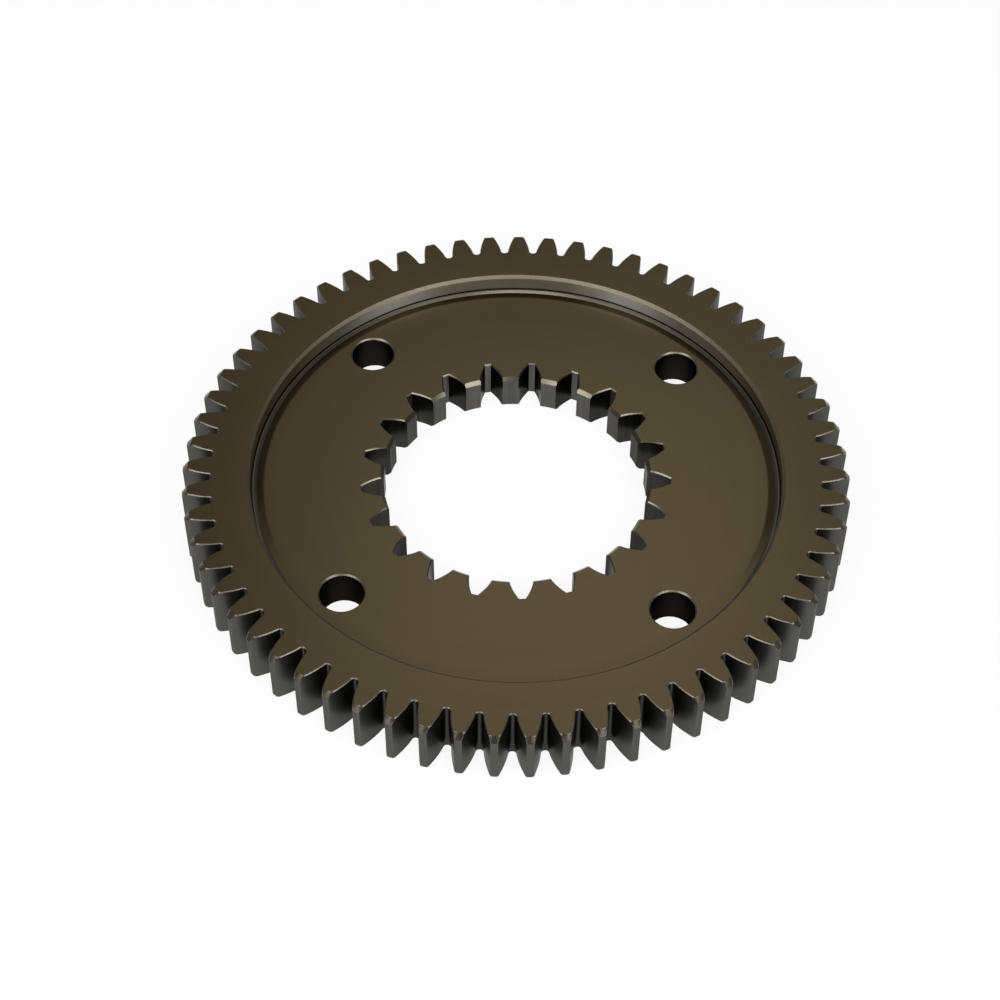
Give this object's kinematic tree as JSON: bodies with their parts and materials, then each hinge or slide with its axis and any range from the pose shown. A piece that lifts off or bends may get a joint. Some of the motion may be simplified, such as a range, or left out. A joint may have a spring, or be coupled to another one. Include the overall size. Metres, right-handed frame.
{
  "type": "spur gear",
  "caption": "Flat spur gear with straight involute teeth, a dished web with through bolt holes and a toothed central bore that slides over a splined shaft.",
  "frame": {"origin": "on the gear's axis, in the plane of its plain side, which it lies on", "axes": "+Z along the gear's axis, from the plain side to the dished side; the bolt holes stand on the diagonals between X and Y"},
  "size_m": [0.2282, 0.2281, 0.0208],
  "materials": {
    "steel": "dark satin ground steel, with greyer tooth flanks and a bright turned recess wall"
  },
  "bodies": {
    "root": {"gear": "steel"}
  },
  "joints": []
}
